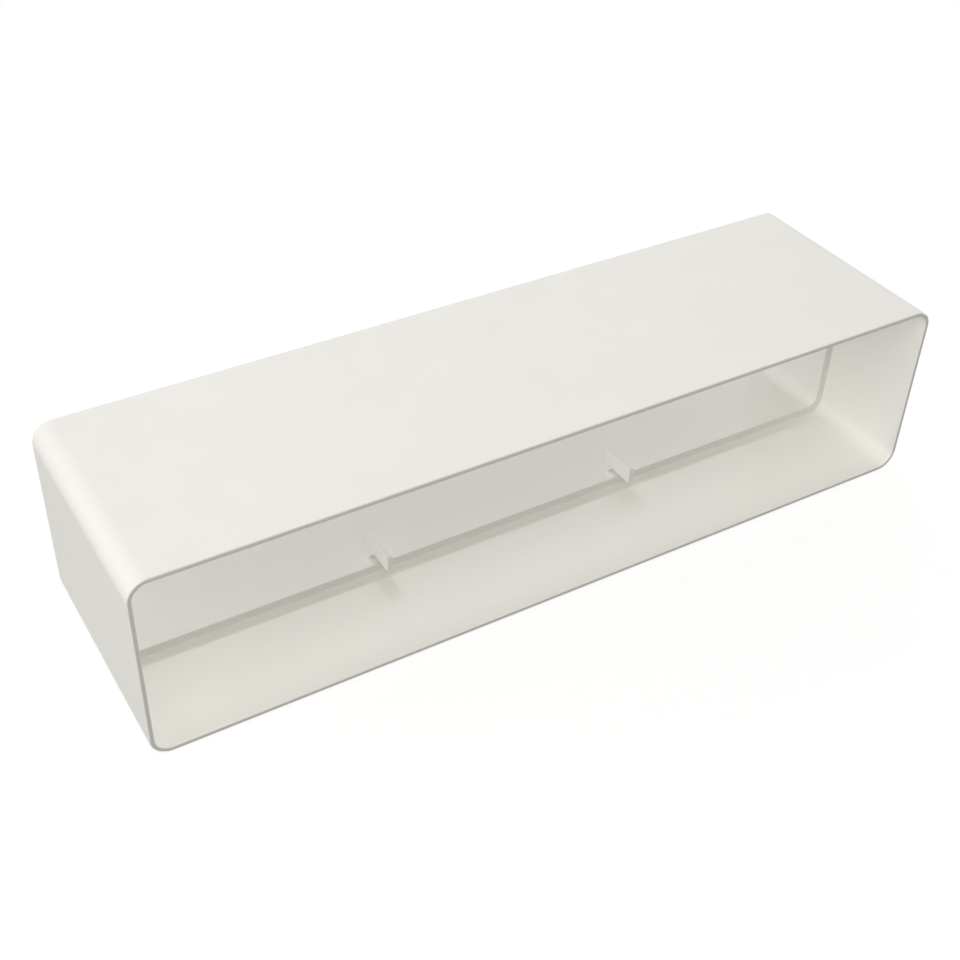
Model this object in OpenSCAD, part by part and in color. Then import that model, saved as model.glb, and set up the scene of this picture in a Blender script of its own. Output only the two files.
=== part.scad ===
// Rectangular duct connector: a moulded sleeve that joins two flat ventilation ducts end to end.
// Each duct slides in from its own mouth until its end meets the stop rib at mid depth.
// X runs across the width, Y along the air flow and Z up. The origin is the middle of the bottom face.

/* [Sleeve] */
// Outside width
sleeve_w = 250; // [180:1:360]
// Outside height
sleeve_h = 58.3; // [45:0.1:120]
// Depth from mouth to mouth
sleeve_d = 70.2; // [50:0.2:120]
// Outer radius of the four long corners
corner_r = 6; // [4:0.5:12]
// Wall thickness at the mouths
wall = 1.5; // [1.2:0.1:2.5]
// How much thicker the wall grows from a mouth to the stop rib, so that the cores pull out
draft = 0.15; // [0:0.05:0.4]

/* [Mouths] */
// Rounding of each rim's outer edge
rim_r = 0.4; // [0.2:0.05:0.6]
// How far the lead-in chamfer cuts into the rim
lead_in = 0.4; // [0.1:0.05:0.6]
// Length of the lead-in chamfer along the wall
lead_in_l = 0.9; // [0.5:0.1:3]

/* [Stop rib] */
// Height of the rib above the walls
rib_h = 2.8; // [2:0.1:5]
// Width of the rib along the air flow
rib_w = 4.2; // [2:0.1:6]
// Corner radius of the opening inside the rib
rib_corner_r = 3; // [1:0.5:6]
// Fillet at the rib's foot
rib_foot_r = 0.5; // [0.2:0.1:0.8]
// Rounding of the rib's crest
rib_crest_r = 0.3; // [0.1:0.05:0.6]

/* [Guide fins] */
// Fins on each broad wall
fin_count = 2; // [1:1:3]
// Distance between neighbouring fins
fin_pitch = 84; // [40:1:84]
// Thickness of a fin
fin_t = 1.8; // [1.2:0.1:3]
// Length of a fin along the air flow, half of it on each side of the rib
fin_l = 13; // [8:0.2:20]
// Height of a fin above the rib's crest
fin_h = 5.2; // [3:0.1:8]
// Rounding under each end of a fin, which leads a duct's wall into the gap below
fin_nose_r = 1; // [0.5:0.1:3]
// Rounding above each end of a fin
fin_tip_r = 0.4; // [0.2:0.1:1]

/* [Hidden] */
$fn = 48;
plastic = "#ece9e2";
// Overlap where one form grows out of another
sink = 0.6;
// Wall thickness beside the rib
root_wall = wall + draft;

// What a quarter round of radius r leaves of its square, with the sharp corner at the origin
module spandrel(r) {
    difference() {
        square(r);
        translate([r, r]) circle(r);
    }
}

// Repeats a shape on both sides of mid depth, in a section whose Y runs along the air flow
module both_ends() {
    children();
    mirror([0, 1]) children();
}

// Carries a section round a rectangle w by h with corners of radius r.
// The section's X is 0 on the rectangle and grows outwards, and its Y runs along the air flow.
module sweep_round_rectangle(w, h, r) {
    half_w = w / 2 - r;
    half_h = h / 2 - r;
    for (side = [0 : 3]) {
        upright = side % 2 == 0;
        reach = upright ? half_w : half_h;
        run = upright ? half_h : half_w;
        rotate([0, -90 * side, 0]) translate([reach, 0, 0]) {
            linear_extrude(2 * run, center = true) translate([r, 0]) children();
            translate([0, 0, run]) rotate([90, 0, 0])
                rotate_extrude(angle = 90) translate([r, 0]) children();
        }
    }
}

// Section of the wall: straight outside, thicker towards mid depth inside, with eased rims
module wall_section() {
    end = sleeve_d / 2;
    difference() {
        polygon([
            [0, -end], [0, end],
            [lead_in - wall, end], [-wall, end - lead_in_l],
            [-root_wall, 0],
            [-wall, lead_in_l - end], [lead_in - wall, -end],
        ]);
        both_ends() translate([0, end]) rotate(180) spandrel(rim_r);
    }
}

// A plate across the air flow, w by h with corners of radius r, as thick as d
module plate(w, h, r, d) {
    rotate([90, 0, 0]) linear_extrude(d, center = true) {
        square([w - 2 * r, h], center = true);
        square([w, h - 2 * r], center = true);
        for (x = [-1, 1], y = [-1, 1]) translate([x * (w / 2 - r), y * (h / 2 - r)]) circle(r);
    }
}

// The stop rib: a plate sunk in the walls with a rounded window, a rounded crest and a filleted foot
module stop_rib() {
    inside = [sleeve_w - 2 * root_wall, sleeve_h - 2 * root_wall];
    window = inside - 2 * [rib_h, rib_h];
    difference() {
        plate(sleeve_w - wall, sleeve_h - wall, corner_r - wall / 2, rib_w);
        plate(window[0], window[1], rib_corner_r, 2 * rib_w);
        sweep_round_rectangle(window[0], window[1], rib_corner_r)
            both_ends() translate([0, rib_w / 2]) rotate(-90) spandrel(rib_crest_r);
    }
    sweep_round_rectangle(inside[0], inside[1], corner_r - root_wall)
        both_ends() translate([rib_foot_r / 20, rib_w / 2]) rotate(90) spandrel(rib_foot_r);
}

// Side view of a guide fin: Y is 0 on the wall, and its wings overhang the rib on both sides
module fin_outline() {
    translate([rib_crest_r - rib_w / 2, sink]) square([rib_w - 2 * rib_crest_r, rib_h]);
    difference() {
        translate([-fin_l / 2, rib_h]) square([fin_l, fin_h]);
        for (end = [0, 1]) mirror([end, 0]) {
            translate([-fin_l / 2, rib_h]) spandrel(fin_nose_r);
            translate([-fin_l / 2, rib_h + fin_h]) rotate(-90) spandrel(fin_tip_r);
        }
    }
}

// The fins in a row on the bottom wall, in the sleeve's centred frame
module fin_row() {
    for (i = [0 : fin_count - 1])
        translate([(i - (fin_count - 1) / 2) * fin_pitch, 0, root_wall - sleeve_h / 2])
            rotate([90, 0, 90]) linear_extrude(fin_t, center = true) fin_outline();
}

// The whole moulding, one piece
module connector_sleeve() {
    color(plastic) translate([0, 0, sleeve_h / 2]) {
        sweep_round_rectangle(sleeve_w, sleeve_h, corner_r) wall_section();
        stop_rib();
        fin_row();
        mirror([0, 0, 1]) fin_row();
    }
}

connector_sleeve();
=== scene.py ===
# %% [markdown]
# # A rectangular duct connector
#
# This sleeve joins two flat ventilation ducts end to end. The real one is a single moulding of white
# plastic: four thin walls, a stop rib all round at mid depth, and small guide fins on the broad walls. The
# script builds that moulding as one closed mesh, gives it a moulded plastic finish, and sets it on a white
# studio floor.
#
# Everything is in metres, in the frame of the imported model. X runs across the width, Y along the air flow
# and Z up.

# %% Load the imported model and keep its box
import math

import bmesh
import bpy
import numpy as np
from mathutils import Matrix, Vector


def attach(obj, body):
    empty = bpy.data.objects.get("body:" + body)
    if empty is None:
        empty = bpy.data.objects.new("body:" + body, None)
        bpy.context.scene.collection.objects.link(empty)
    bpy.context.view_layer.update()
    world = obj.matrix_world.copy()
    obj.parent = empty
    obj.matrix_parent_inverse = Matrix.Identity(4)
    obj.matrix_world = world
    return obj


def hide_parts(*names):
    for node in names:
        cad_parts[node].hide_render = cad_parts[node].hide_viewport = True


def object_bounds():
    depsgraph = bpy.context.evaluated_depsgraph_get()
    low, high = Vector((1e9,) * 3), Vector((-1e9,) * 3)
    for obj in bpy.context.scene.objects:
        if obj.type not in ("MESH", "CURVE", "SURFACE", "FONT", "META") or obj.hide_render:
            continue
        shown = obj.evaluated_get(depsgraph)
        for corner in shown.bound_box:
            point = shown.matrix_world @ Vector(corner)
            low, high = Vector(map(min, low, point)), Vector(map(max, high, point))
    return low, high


MM = 0.001

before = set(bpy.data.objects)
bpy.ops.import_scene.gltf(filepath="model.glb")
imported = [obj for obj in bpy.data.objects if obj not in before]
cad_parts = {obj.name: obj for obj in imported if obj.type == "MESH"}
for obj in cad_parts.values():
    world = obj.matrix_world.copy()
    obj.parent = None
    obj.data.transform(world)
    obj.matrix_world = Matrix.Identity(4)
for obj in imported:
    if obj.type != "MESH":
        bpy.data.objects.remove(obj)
cad_low, cad_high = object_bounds()
print("The packed sleeve measures", [round(side / MM, 2) for side in cad_high - cad_low], "mm")

# %% [markdown]
# ## The camera
#
# A camera is three choices: where it stands, where it looks, and how long its lens is. Here all three come
# from matching the outer edges of the real sleeve, so that the picture has the same perspective. Looking
# down by 39 degrees shows the top, the left end and the floor inside at once. A small shift then slides the
# picture on the film, as when a print is cropped off centre. A turn of the camera couldn't do that without
# bending the perspective. The camera comes first because each later step is judged through it.

# %% Camera
CAMERA_PLACE = Vector((-0.183552, -0.276162, 0.278914))
LOOK_RIGHT = math.radians(31.208)   # turned from +Y towards +X
LOOK_DOWN = math.radians(38.875)
ROLL = math.radians(1.486)
FOCAL_PIXELS = 1432.8               # the lens, in widths of one pixel
PICTURE_PIXELS = 960                # the picture is square
SENSOR_MM = 36
SHIFT = (0.0231, 0.0131)            # how far the film sits off the lens's axis, in widths of the picture
NEAREST = 10 * MM                   # what is closer to the lens than this isn't drawn

looking = Vector((math.sin(LOOK_RIGHT) * math.cos(LOOK_DOWN),
                  math.cos(LOOK_RIGHT) * math.cos(LOOK_DOWN),
                  -math.sin(LOOK_DOWN)))
level = looking.to_track_quat("-Z", "Y").to_matrix().to_4x4()
camera = bpy.data.objects.new("camera", bpy.data.cameras.new("camera"))
bpy.context.collection.objects.link(camera)
camera.matrix_world = Matrix.Translation(CAMERA_PLACE) @ level @ Matrix.Rotation(ROLL, 4, "Z")
camera.data.sensor_width = SENSOR_MM
camera.data.lens = SENSOR_MM * FOCAL_PIXELS / PICTURE_PIXELS
camera.data.shift_x, camera.data.shift_y = SHIFT
camera.data.clip_start = NEAREST
bpy.context.scene.camera = camera
print("The lens is", round(camera.data.lens, 1), "mm on a sensor of", SENSOR_MM, "mm")

# %% [markdown]
# ## The section of the wall
#
# A moulder draws such a sleeve as one section: the outline that a saw would show if it cut through the wall
# from mouth to mouth. It could be modelled as a box with the inside cut away, but then every rounded edge
# would need its own bevel. Drawing the section once, with a radius on each corner, gives all the edges at
# the same time.
#
# Each corner is written as its place along the air flow, its depth under the outer face, and its radius.

# %% Sizes of the moulding
width, depth, height = cad_high - cad_low
WALL = 1.5 * MM                  # at the mouths
DRAFT = 0.15 * MM                # added to the wall at mid depth, so that the mould's cores pull out
CORNER_R = 6 * MM                # of the four long corners, outside
RIM_R = 0.4 * MM                 # of a rim's outer edge
RIM_INSIDE_R = 0.1 * MM
LEAD_IN = 0.3 * MM               # how far the chamfer inside a mouth cuts into the rim
LEAD_IN_LENGTH = 0.7 * MM
LEAD_IN_R = 0.4 * MM             # where the chamfer meets the wall
RIB_HEIGHT = 2.8 * MM
RIB_WIDTH = 4.2 * MM
RIB_CORNER_R = 3 * MM            # of the window inside the rib
FOOT_R = 0.3 * MM
CREST_R = 0.2 * MM

end = depth / 2                  # a mouth, measured from mid depth
root_wall = WALL + DRAFT
rib_side = RIB_WIDTH / 2
rib_crest = root_wall + RIB_HEIGHT
print("The rib's crest lies", round(rib_crest / MM, 2), "mm under the outer face")


def wall_at(y):
    """How thick the wall is at y, between a mouth and mid depth."""
    return WALL + DRAFT * (1 - abs(y) / (end - LEAD_IN_LENGTH))


# %% Rounded corners
def round_corners(corners, steps):
    """Replaces each corner (x, y, radius) of a closed outline by an arc, and returns the list of arcs."""
    arcs = []
    for i, (x, y, radius) in enumerate(corners):
        here = np.array([x, y])
        back = np.array(corners[i - 1][:2]) - here
        ahead = np.array(corners[(i + 1) % len(corners)][:2]) - here
        back, ahead = back / np.linalg.norm(back), ahead / np.linalg.norm(ahead)
        if radius == 0:
            arcs.append([here])
            continue
        half_angle = math.acos(np.clip(back @ ahead, -1, 1)) / 2
        inwards = (back + ahead) / np.linalg.norm(back + ahead)
        centre = here + inwards * radius / math.sin(half_angle)
        first = here + back * radius / math.tan(half_angle) - centre
        last = here + ahead * radius / math.tan(half_angle) - centre
        turn = math.atan2(first[0] * last[1] - first[1] * last[0], first @ last)
        arcs.append([centre + np.array([first[0] * math.cos(a) - first[1] * math.sin(a),
                                        first[0] * math.sin(a) + first[1] * math.cos(a)])
                     for a in np.linspace(0, turn, steps + 1)])
    return arcs


# %% Evenly spaced points between the corners
def shares(length, longest, holding):
    """Where to put points along a straight run, as shares of it, with one close to each end.
    With the corner's own last point it makes a pair that keeps the shading of the arc off the flat."""
    if length < 3 * holding:
        return []
    count = max(1, math.ceil((length - 2 * holding) / longest))
    return list(np.linspace(holding / length, 1 - holding / length, count + 1))


def closed_outline(corners, longest, holding, steps=6):
    """The points of a closed outline with rounded corners and evenly divided straight runs."""
    arcs = round_corners(corners, steps)
    points = []
    for arc, following in zip(arcs, arcs[1:] + arcs[:1]):
        points += arc
        run = following[0] - arc[-1]
        points += [arc[-1] + run * share for share in shares(np.linalg.norm(run), longest, holding)]
    return np.array(points)


# %% Draw the section
SECTION_STEP = 4 * MM            # the longest stretch between two points of a straight run
SECTION_HOLD = 0.06 * MM         # how far from a corner its flat is held

section = closed_outline([
    (-end, 0, RIM_R), (end, 0, RIM_R),
    (end, WALL - LEAD_IN, RIM_INSIDE_R), (end - LEAD_IN_LENGTH, WALL, LEAD_IN_R),
    (rib_side, wall_at(rib_side), FOOT_R), (rib_side, rib_crest, CREST_R),
    (-rib_side, rib_crest, CREST_R), (-rib_side, wall_at(rib_side), FOOT_R),
    (LEAD_IN_LENGTH - end, WALL, LEAD_IN_R), (-end, WALL - LEAD_IN, RIM_INSIDE_R),
], SECTION_STEP, SECTION_HOLD)
print("The section has", len(section), "points")

# %% [markdown]
# ## The sleeve
#
# Now each point of the section becomes a ring: a rectangle with rounded corners that lies across the air
# flow. A ring deeper under the outer face is smaller and has a tighter corner. Neighbouring rings are joined
# by four-sided faces, so the result is closed and has even faces, which no cut-out box would have.
#
# The window inside the rib has a corner radius of its own. Blending from the radius at the wall's foot to
# that of the window carries the rib round the corners.

# %% Rings round the air flow
CORNER_STEPS = 14
CORNER_SIGNS = [(1, 1), (-1, 1), (-1, -1), (1, -1)]
RING_STEP = 5 * MM
RING_HOLD = 0.5 * MM


def ring_corner_radius(inset):
    """Corner radius of the ring that lies inset under the outer face."""
    into_rib = min(max((inset - root_wall) / RIB_HEIGHT, 0), 1)
    return (CORNER_R - min(inset, root_wall)) * (1 - into_rib) + RIB_CORNER_R * into_rib


def corner_points(inset, corner):
    """The points of one rounded corner of a ring, in the plane across the air flow."""
    radius = ring_corner_radius(inset)
    sign_x, sign_z = CORNER_SIGNS[corner]
    centre = np.array([sign_x * (width / 2 - inset - radius), sign_z * (height / 2 - inset - radius)])
    angles = math.radians(90) * (corner + np.linspace(0, 1, CORNER_STEPS + 1))
    return centre + radius * np.stack([np.cos(angles), np.sin(angles)], axis=1)


def ring(inset):
    """All points of a ring, in order. Every ring has the same number, so that rings can be joined."""
    points = []
    for corner in range(4):
        arc, following = corner_points(inset, corner), corner_points(inset, (corner + 1) % 4)
        points += list(arc)
        length = height if corner % 2 else width
        run = following[0] - arc[-1]
        points += [arc[-1] + run * share for share in shares(length, RING_STEP, RING_HOLD)]
    return np.array(points)


rings = np.array([ring(inset) for _, inset in section])
print("The sleeve has", rings.shape[0], "rings of", rings.shape[1], "points")

# %% Join the rings into a mesh
def new_mesh_object(name, points, faces):
    """A mesh object from points and faces, with its normals turned outwards."""
    mesh = bpy.data.meshes.new(name)
    mesh.from_pydata([tuple(p) for p in points], [], faces)
    made = bmesh.new()
    made.from_mesh(mesh)
    bmesh.ops.recalc_face_normals(made, faces=made.faces)
    made.to_mesh(mesh)
    made.free()
    piece = bpy.data.objects.new(name, mesh)
    bpy.context.collection.objects.link(piece)
    return piece


def with_next(count):
    """Each number below count with the one after it, and the last one with 0."""
    return [(i, (i + 1) % count) for i in range(count)]


ring_count, per_ring = rings.shape[:2]
points = [(x, y, z + height / 2) for (y, _), around in zip(section, rings) for x, z in around]
quads = [(a * per_ring + i, a * per_ring + j, b * per_ring + j, b * per_ring + i)
         for a, b in with_next(ring_count) for i, j in with_next(per_ring)]
sleeve = new_mesh_object("moulded_sleeve", points, quads)
print("The sleeve has", len(sleeve.data.polygons), "faces")

# %% [markdown]
# ## The guide fins
#
# Two thin fins stand on the rib of each broad wall. Their wings overhang the rib on both sides, and a duct's
# wall slides into the gap below them, so that it can't sag into the air flow. A fin is flat, so its side
# view is drawn as an outline and pushed out to its thickness. A small bevel then rounds its edges as the
# mould does.

# %% Draw a fin
FIN_THICKNESS = 1.8 * MM
FIN_LENGTH = 13 * MM
FIN_HEIGHT = 5.2 * MM            # above the rib's crest
NOSE_R = 1 * MM                  # below each end, to lead the duct's wall in
TIP_R = 0.4 * MM
SUNK = 0.05 * MM                 # the wings start this far below the crest, so that no two faces coincide
FIN_STEP = 2 * MM
FIN_HOLD = 0.05 * MM


def fin(name, x, upside_down):
    """A guide fin, reaching from inside the rib to its full height over one broad wall."""
    under, over = rib_crest - SUNK, rib_crest + FIN_HEIGHT
    stem = rib_side - CREST_R - SUNK
    outline = closed_outline([
        (-FIN_LENGTH / 2, under, NOSE_R), (-stem, under, 0), (-stem, root_wall, 0),
        (stem, root_wall, 0), (stem, under, 0), (FIN_LENGTH / 2, under, NOSE_R),
        (FIN_LENGTH / 2, over, TIP_R), (-FIN_LENGTH / 2, over, TIP_R),
    ], FIN_STEP, FIN_HOLD)
    if upside_down:
        outline = outline * (1, -1) + (0, height)
    count = len(outline)
    sides = [(x + side * FIN_THICKNESS / 2, y, z) for side in (-1, 1) for y, z in outline]
    faces = [tuple(range(count)), tuple(range(count, 2 * count))]
    faces += [(i, j, j + count, i + count) for i, j in with_next(count)]
    return new_mesh_object(name, sides, faces)


# %% Make the four fins
FIN_PITCH = 84 * MM
FIN_EDGE_R = 0.18 * MM
SQUARE_EDGE = math.radians(60)   # an edge that turns by more than this is one of the square ones


def round_edges(piece, radius, sharper_than):
    """Rounds the sharp edges of a piece, by a bevel in its mesh."""
    made = bmesh.new()
    made.from_mesh(piece.data)
    sharp = [e for e in made.edges if e.calc_face_angle(0) > sharper_than]
    bmesh.ops.bevel(made, geom=sharp, offset=radius, segments=3, profile=0.5, affect="EDGES")
    made.to_mesh(piece.data)
    made.free()


fins = [fin(f"fin_{i}", side * FIN_PITCH / 2, upside_down)
        for i, (side, upside_down) in enumerate([(-1, False), (1, False), (-1, True), (1, True)])]
for each in fins:
    round_edges(each, FIN_EDGE_R, SQUARE_EDGE)
print("There are", len(fins), "fins")

# %% [markdown]
# The fins and the sleeve are one moulding, so they become one closed mesh. A Boolean union does that: it
# cuts away what lies inside and sews the surfaces along the line where they meet.

# %% Fuse the fins with the sleeve
CREASE = math.radians(38)        # faces that meet at more than this are shaded with a sharp line

for each in fins:
    union = sleeve.modifiers.new(each.name, "BOOLEAN")
    union.operation = "UNION"
    union.solver = "EXACT"
    union.object = each
depsgraph = bpy.context.evaluated_depsgraph_get()
fused = bpy.data.meshes.new_from_object(sleeve.evaluated_get(depsgraph))
sleeve.modifiers.clear()
sleeve.data = fused
for each in fins:
    bpy.data.objects.remove(each)
fused.polygons.foreach_set("use_smooth", [True] * len(fused.polygons))
fused.set_sharp_from_angle(angle=CREASE)

check = bmesh.new()
check.from_mesh(fused)
open_edges = sum(not e.is_manifold for e in check.edges)
print("The fused sleeve has", len(check.faces), "faces,", open_edges, "open edges and",
      round(check.calc_volume() / MM ** 3), "cubic millimetres")
check.free()

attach(sleeve, "root")
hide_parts("connector_sleeve")

# %% [markdown]
# ## Shader maths as plain sums
#
# A material is a graph of nodes, but a formula is easier to read as a formula. `Wire` wraps one socket, and
# adding or multiplying wires adds the Math nodes. `Graph` makes any other node in one call: its type, its
# settings, and what goes into its sockets. `Finish` is the graph of a material.

# %% Wires
class Wire:
    """A node's output that can be used in sums."""

    def __init__(self, graph, socket):
        self.graph, self.socket = graph, socket

    def sum(self, operation, first, second):
        return self.graph.node("ShaderNodeMath", {"operation": operation}, {0: first, 1: second})

    def __add__(self, other):
        return self.sum("ADD", self, other)

    def __sub__(self, other):
        return self.sum("SUBTRACT", self, other)

    def __rsub__(self, other):
        return self.sum("SUBTRACT", other, self)

    def __mul__(self, other):
        return self.sum("MULTIPLY", self, other)

    __radd__, __rmul__ = __add__, __mul__


# %% Graphs and finishes
class Graph:
    """A tree of nodes that ends in one output."""

    def __init__(self, tree, output):
        self.tree = tree
        self.tree.nodes.clear()
        self.output = self.tree.nodes.new(output)

    def plug(self, socket, value):
        """Links a wire to a socket, or sets the socket to a number or a colour."""
        if isinstance(value, Wire):
            self.tree.links.new(value.socket, socket)
        else:
            socket.default_value = value

    def node(self, kind, settings=None, inputs=None, output=0):
        """A new node with its settings made first and its sockets filled after. Returns one output."""
        made = self.tree.nodes.new(kind)
        for name, value in (settings or {}).items():
            setattr(made, name, value)
        for key, value in (inputs or {}).items():
            self.plug(made.inputs[key], value)
        return Wire(self, made.outputs[output])

    def show(self, look):
        """Makes a wire the look of the whole graph."""
        self.plug(self.output.inputs["Surface"], look)


class Finish(Graph):
    """The graph of a material."""

    def __init__(self, name):
        self.material = bpy.data.materials.new(name)
        self.material.use_nodes = True
        super().__init__(self.material.node_tree, "ShaderNodeOutputMaterial")

    def mix(self, factor, first, second):
        """A colour between two colours."""
        return self.node("ShaderNodeMix", {"data_type": "RGBA"}, {0: factor, 6: first, 7: second}, output=2)

    def noise(self, place, size, detail=2, stretch=(1, 1, 1)):
        """Cloudy noise from 0 to 1, in blots about size metres across, or more along a stretched axis."""
        scale = tuple(1 / (size * along) for along in stretch)
        scaled = self.node("ShaderNodeVectorMath", {"operation": "MULTIPLY"}, {0: place, 1: scale})
        return self.node("ShaderNodeTexNoise", {}, {"Vector": scaled, "Scale": 1, "Detail": detail})


# %% [markdown]
# ## Moulded white plastic
#
# The real sleeve comes out of a satin mould. Its skin copies the fine texture of the steel and has faint
# drag lines along Y, the way that the steel slides off. The rounded edges are a little glossier than the
# flats, and they are also painted a little lighter, which is a painted sheen. The colour is a warm white that
# drifts by a few percent, as the melt flowed. All of this stays below what the eye reads as a pattern.
# Without it the surface looks like a computer's flat grey.
#
# It could be painted as a picture and wrapped round the sleeve, but then it would stretch at the corners.
# Noise in space has no seams, and each effect has its own real size, in metres.

# %% Mark the rounded edges
TIGHTEST_R = 0.3 * MM            # an edge as tight as this is fully marked
WIDEST_R = 1.5 * MM              # an edge rounder than this isn't marked
ENDS_AND_AXES = 4                # an edge's turn is shared by its two ends, and averaged over two directions
NO_AREA = 1e-12


def mark_edges(mesh, name="edge"):
    """Stores on each vertex how tightly the surface turns outwards, from 0 on a flat to 1 on a tight edge."""
    made = bmesh.new()
    made.from_mesh(mesh)
    marks = []
    for vertex in made.verts:
        area = sum(face.calc_area() for face in vertex.link_faces) / len(vertex.link_faces)
        turn = sum(max(e.calc_face_angle_signed(0), 0) * e.calc_length() for e in vertex.link_edges)
        curve = turn / ENDS_AND_AXES / max(area, NO_AREA)
        marks.append(np.clip((curve - 1 / WIDEST_R) / (1 / TIGHTEST_R - 1 / WIDEST_R), 0, 1))
    made.free()
    mesh.attributes.new(name, "FLOAT", "POINT").data.foreach_set("value", np.array(marks, np.float32))
    return np.array(marks)


marks = mark_edges(fused)
print("Marked as edge:", int((marks > 0.5).sum()), "of", len(marks), "vertices")

# %% The patterns in the plastic
DRIFT_SIZE = 90 * MM
CLOUD_SIZE = 12 * MM
PEEL_SIZE = 4.5 * MM
GRAIN_SIZE = 0.9 * MM
DRAG_SIZE = 1.2 * MM
DRAG_STRETCH = (1, 40, 1)
# the same share also sets how much of the painted sheen an edge keeps where it is rubbed least
LEAST_WEAR_AND_SHEEN = 0.4               # how much of the gloss an edge has where it is rubbed least

plastic = Finish("satin_white_plastic")
place = plastic.node("ShaderNodeTexCoord", output="Object")
drift = plastic.noise(place, DRIFT_SIZE)
cloud = plastic.noise(place, CLOUD_SIZE, detail=4)
grain = plastic.noise(place, GRAIN_SIZE)
peel = plastic.noise(place, PEEL_SIZE)
drag = plastic.noise(place, DRAG_SIZE, stretch=DRAG_STRETCH)
edge = plastic.node("ShaderNodeAttribute", {"attribute_name": "edge"}, output="Fac")
# the rounded edges: worn smoother, and also painted lighter as a painted sheen, mottled by the cloud
edge_wear_and_sheen = edge * (LEAST_WEAR_AND_SHEEN + (1 - LEAST_WEAR_AND_SHEEN) * cloud)
print("The patterns take", len(plastic.tree.nodes), "nodes")

# %% Colour, gloss and relief of the plastic
DARKER_WHITE = (0.842, 0.826, 0.783, 1)
LIGHTER_WHITE = (0.868, 0.854, 0.816, 1)
CLOUDED_WHITE = (0.832, 0.816, 0.774, 1)
# painted sheen: the lighter white that is laid on the rounded edges
EDGE_SHEEN_WHITE = (0.885, 0.873, 0.838, 1)
CLOUD_SHARE = 0.5
EDGE_SHEEN_SHARE = 0.5
ROUGH = 0.38
ROUGHER_IN_CLOUDS = 0.1
ROUGHER_IN_DRAG = 0.06
SMOOTHER_WHERE_RUBBED = 0.1
PEEL_DEPTH = 0.006 * MM
GRAIN_DEPTH = 0.0025 * MM
DRAG_DEPTH = 0.002 * MM
REFRACTION = 1.5

white = plastic.mix(drift, DARKER_WHITE, LIGHTER_WHITE)
clouded = plastic.mix(CLOUD_SHARE * cloud, white, CLOUDED_WHITE)
# painted sheen: the rounded edges are made lighter in colour
colour = plastic.mix(EDGE_SHEEN_SHARE * edge_wear_and_sheen, clouded, EDGE_SHEEN_WHITE)
rough = ROUGH + ROUGHER_IN_CLOUDS * cloud + ROUGHER_IN_DRAG * drag - SMOOTHER_WHERE_RUBBED * edge_wear_and_sheen
relief = PEEL_DEPTH * peel + GRAIN_DEPTH * grain + DRAG_DEPTH * drag
bump = plastic.node("ShaderNodeBump", {}, {"Height": relief, "Strength": 1, "Distance": 1})
skin = plastic.node("ShaderNodeBsdfPrincipled", {},
                    {"Base Color": colour, "Roughness": rough, "Normal": bump, "IOR": REFRACTION})
plastic.show(skin)
sleeve.data.materials.clear()
sleeve.data.materials.append(plastic.material)
print("The plastic takes", len(plastic.tree.nodes), "nodes in all")

# %% [markdown]
# ## The studio
#
# A white product picture has a floor and a background that read as paper white. Turning the lamps up until
# the floor burns out would burn out the white plastic too. So the camera sees a floor that is half lit paper
# and half glow: it takes the sleeve's soft shadow and is white elsewhere. Further out it is pure glow, so
# that no horizon shows.
#
# All other rays meet a greyer floor. A white one would throw so much light back up that the underside and
# the inside lost their depth, and it would shine in the upright rims and wash out their warm tone. The sky
# works in a like way. It is white where the camera or a reflection sees it, and a weaker lamp for the rest.

# %% Floor and background
FLOOR_SIDE = 12
GLOW_STARTS = 0.22               # metres from the middle of the sleeve
GLOW_IS_ALL = 0.5
NEAR_GLOW = 1.36                 # so bright because only half of it counts beside the lit paper
NEAR_GLOW_SHARE = 0.5
PAPER = (0.8, 0.8, 0.8, 1)
GREYER = (0.3, 0.3, 0.3, 1)
WHITE = (1, 1, 1, 1)

bpy.ops.mesh.primitive_plane_add(size=FLOOR_SIDE)
floor = bpy.context.object
floor.name = "floor"
paper = Finish("paper_white_floor")
seen = paper.node("ShaderNodeLightPath", output="Is Camera Ray")
from_middle = paper.node("ShaderNodeTexCoord", output="Object")
beyond = paper.node("ShaderNodeVectorMath", {"operation": "LENGTH"}, {0: from_middle}, output="Value")
far_away = paper.node("ShaderNodeMapRange", {"interpolation_type": "SMOOTHSTEP"},
                      {"Value": beyond, "From Min": GLOW_STARTS, "From Max": GLOW_IS_ALL})
lit = paper.node("ShaderNodeBsdfDiffuse", {}, {"Color": PAPER})
near_glow = paper.node("ShaderNodeEmission", {}, {"Color": WHITE, "Strength": NEAR_GLOW})
far_glow = paper.node("ShaderNodeEmission", {}, {"Color": WHITE, "Strength": 1})
near_look = paper.node("ShaderNodeMixShader", {}, {0: NEAR_GLOW_SHARE, 1: lit, 2: near_glow})
paper_look = paper.node("ShaderNodeMixShader", {}, {0: far_away, 1: near_look, 2: far_glow})
bounce = paper.node("ShaderNodeBsdfDiffuse", {}, {"Color": GREYER})
paper.show(paper.node("ShaderNodeMixShader", {}, {0: seen, 1: bounce, 2: paper_look}))
floor.data.materials.append(paper.material)
print("The floor is", FLOOR_SIDE, "m wide and pure glow beyond", GLOW_IS_ALL, "m")

# %% Sky
SKY_ON_OBJECT = 0.41             # what the sky gives the sleeve, where 1 is the white that the camera sees

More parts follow.
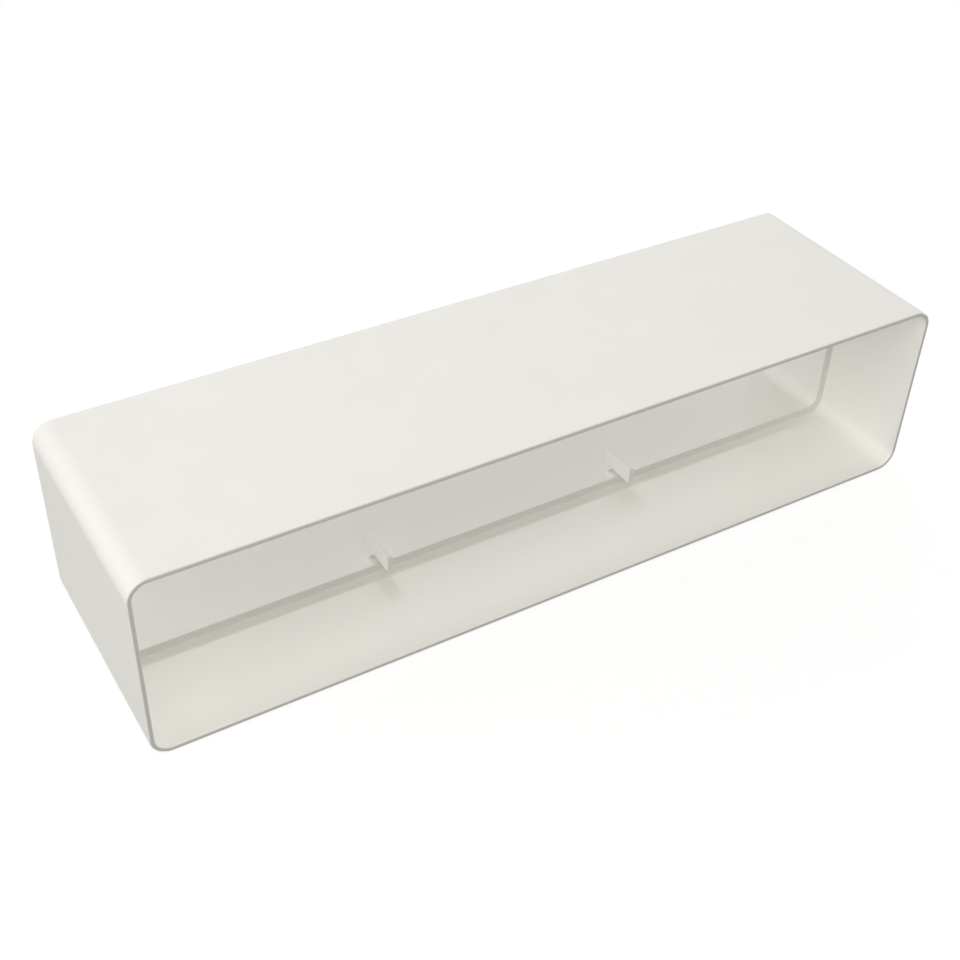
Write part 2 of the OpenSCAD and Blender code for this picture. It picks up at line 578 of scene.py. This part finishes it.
world = bpy.data.worlds.new("studio")
bpy.context.scene.world = world
world.use_nodes = True
sky = Graph(world.node_tree, "ShaderNodeOutputWorld")
sky_seen = sky.node("ShaderNodeLightPath", output="Is Camera Ray")
sky_mirrored = sky.node("ShaderNodeLightPath", output="Is Glossy Ray")
shown = sky.node("ShaderNodeMath", {"operation": "MAXIMUM"}, {0: sky_seen, 1: sky_mirrored})
brightness = sky.node("ShaderNodeMapRange", {}, {"Value": shown, "To Min": SKY_ON_OBJECT, "To Max": 1})
sky.show(sky.node("ShaderNodeBackground", {}, {"Color": WHITE, "Strength": brightness}))
print("The sky lights the sleeve with", SKY_ON_OBJECT, "of its white")

# %% [markdown]
# ## The lamps
#
# The shadow of the stop rib tells where the main light is: it falls on the floor inside, towards the viewer,
# and is a little wider than the rib is high. So the key comes over the back edge and in through the far
# mouth. It is a row of three suns at the same slope. A shadow along the row stays sharp, and that of a thin
# fin across it is smeared out, as under a long strip light.
#
# The suns without shadow stand for white walls around the set. They give each face its own tone, also deep
# inside the sleeve where a real wall's light would arrive after many bounces. Three soft boxes add broad
# highlights. The one in front is a little warm, which gives the upright rims their tone, and it stands to
# the left, where the top is brightest.

# %% Kinds of lamps
def hang(name, lamp, place, towards, axis):
    """Hangs a lamp at a place, with one of its own axes along a direction."""
    made = bpy.data.objects.new(name, lamp)
    made.location = place
    made.rotation_euler = Vector(towards).to_track_quat(axis, "Y").to_euler()
    bpy.context.collection.objects.link(made)


def soft_box(name, place, aim, size, power, colour=(1, 1, 1)):
    """A square area lamp at a place, turned towards a point."""
    lamp = bpy.data.lights.new(name, "AREA")
    lamp.size, lamp.energy, lamp.color = size, power, colour
    hang(name, lamp, place, Vector(aim) - Vector(place), "-Z")


def sun(name, towards, strength, angle, casts_shadow):
    """A lamp so far away that its light comes from one direction everywhere."""
    lamp = bpy.data.lights.new(name, "SUN")
    lamp.energy, lamp.angle, lamp.use_shadow = strength, math.radians(angle), casts_shadow
    hang(name, lamp, (0, 0, 0), towards, "Z")


# %% The key and the fills
KEYS = {2: 0.24, 20: 0.21, 38: 0.12}   # degrees from +Y towards +X, and the strength there
KEY_ANGLE = 8                          # degrees that each sun of the key spans, which soften its shadows
SHADOW_REACH = 1.25                    # how far a shadow falls along Y, for a height of 1
FILLS = {"top_fill": ((0, 0, 1), 0.36), "left_fill": ((-1, 0, 0), 0.74), "right_fill": ((1, 0, 0), 0.88)}
FILL_ANGLE = 10

for turn, strength in KEYS.items():
    towards = (math.tan(math.radians(turn)), 1, 1 / SHADOW_REACH)
    sun(f"key_{turn}", towards, strength, KEY_ANGLE, casts_shadow=True)
for name, (towards, strength) in FILLS.items():
    sun(name, towards, strength, FILL_ANGLE, casts_shadow=False)
print("There are", len(KEYS), "suns in the key and", len(FILLS), "fills")

# %% The soft boxes
BOXES = {
    "front_box": {"place": (-0.45, -0.7, 1.2), "size": 0.8, "power": 3.9, "colour": (1, 0.96, 0.88)},
    "top_box": {"place": (0, -0.4, 1.3), "size": 0.6, "power": 1.0},
    "left_box": {"place": (-1.3, -0.1, 0.4), "size": 0.8, "power": 4.9},
}
middle = (0, 0, height / 2)
for name, box in BOXES.items():
    soft_box(name, aim=middle, **box)
print("There are", len(BOXES), "soft boxes")

# %% Show colours as they were written
bpy.context.scene.view_settings.view_transform = "Standard"
